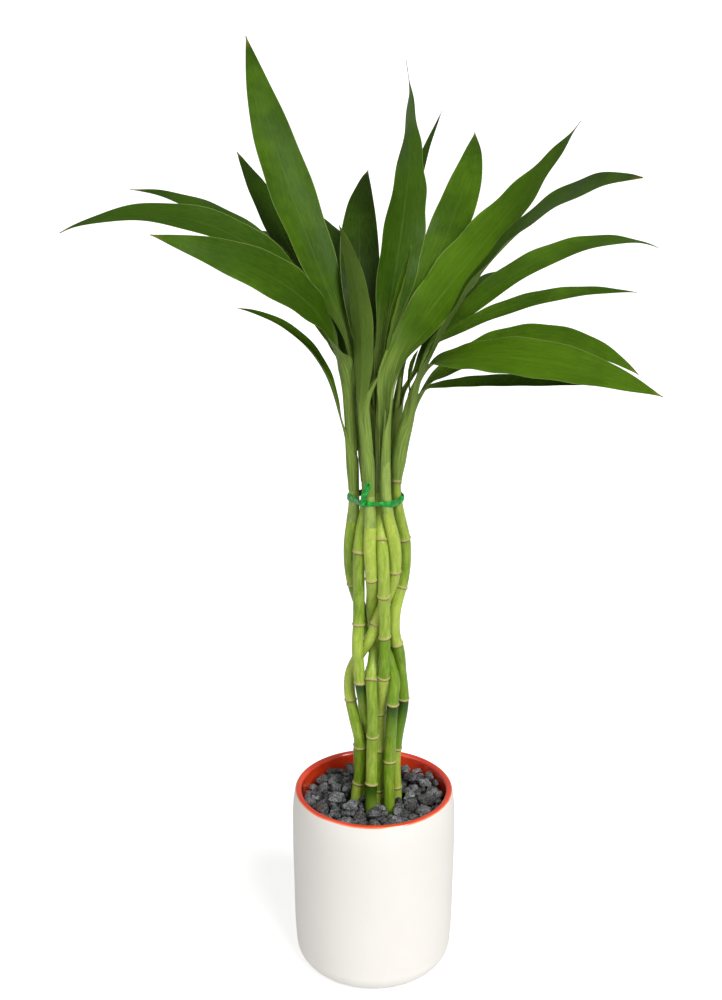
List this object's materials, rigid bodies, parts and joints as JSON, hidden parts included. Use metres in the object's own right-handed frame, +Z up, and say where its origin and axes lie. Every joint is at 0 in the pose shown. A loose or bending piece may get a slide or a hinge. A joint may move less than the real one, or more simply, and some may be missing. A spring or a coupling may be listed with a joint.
{
  "type": "potted lucky bamboo",
  "caption": "Plaited lucky bamboo with green canes, one twist tie and a crown of long pointed leaves, standing in grey gravel in a white cylinder pot glazed red inside.",
  "frame": {"origin": "centre of the pot's flat foot, on the surface that it stands on", "axes": "+Z up along the pot and the plait, -Y towards the side that the plant shows, +X to that side's right"},
  "size_m": [0.3669, 0.3307, 0.6127],
  "materials": {
    "white_glaze": "satin white glaze outside, glossy red glaze inside",
    "grey_stone": "rough broken grey stone",
    "cane_green": "smooth waxy yellow-green cane with pale rings",
    "leaf_green": "soft gloss with fine lengthwise veins",
    "foil_green": "shiny green foil"
  },
  "bodies": {
    "root": {"gravel_bed": "grey_stone", "leaf_01": "leaf_green", "leaf_02": "leaf_green", "leaf_03": "leaf_green", "leaf_04": "leaf_green", "leaf_05": "leaf_green", "leaf_06": "leaf_green", "leaf_07": "leaf_green", "leaf_08": "leaf_green", "leaf_09": "leaf_green", "leaf_10": "leaf_green", "leaf_11": "leaf_green", "leaf_12": "leaf_green", "leaf_13": "leaf_green", "leaf_14": "leaf_green", "leaf_15": "leaf_green", "leaf_16": "leaf_green", "leaf_17": "leaf_green", "leaf_18": "leaf_green", "leaf_19": "leaf_green", "leaf_20": "leaf_green", "leaf_21": "leaf_green", "leaf_22": "leaf_green", "leaf_23": "leaf_green", "leaf_24": "leaf_green", "leaf_25": "leaf_green", "pot": "white_glaze", "stalk_back": "cane_green", "stalk_centre_left": "cane_green", "stalk_crossing": "cane_green", "stalk_far_left": "cane_green", "stalk_far_right": "cane_green", "stalk_front_left": "cane_green", "stalk_front_right": "cane_green", "stalk_middle": "cane_green", "stone_01": "grey_stone", "stone_02": "grey_stone", "stone_03": "grey_stone", "stone_04": "grey_stone", "stone_05": "grey_stone", "stone_06": "grey_stone", "stone_07": "grey_stone", "stone_08": "grey_stone", "stone_09": "grey_stone", "stone_10": "grey_stone", "stone_11": "grey_stone", "stone_12": "grey_stone", "stone_13": "grey_stone", "stone_14": "grey_stone", "stone_15": "grey_stone", "stone_16": "grey_stone", "twist_tie": "foil_green"}
  },
  "joints": []
}
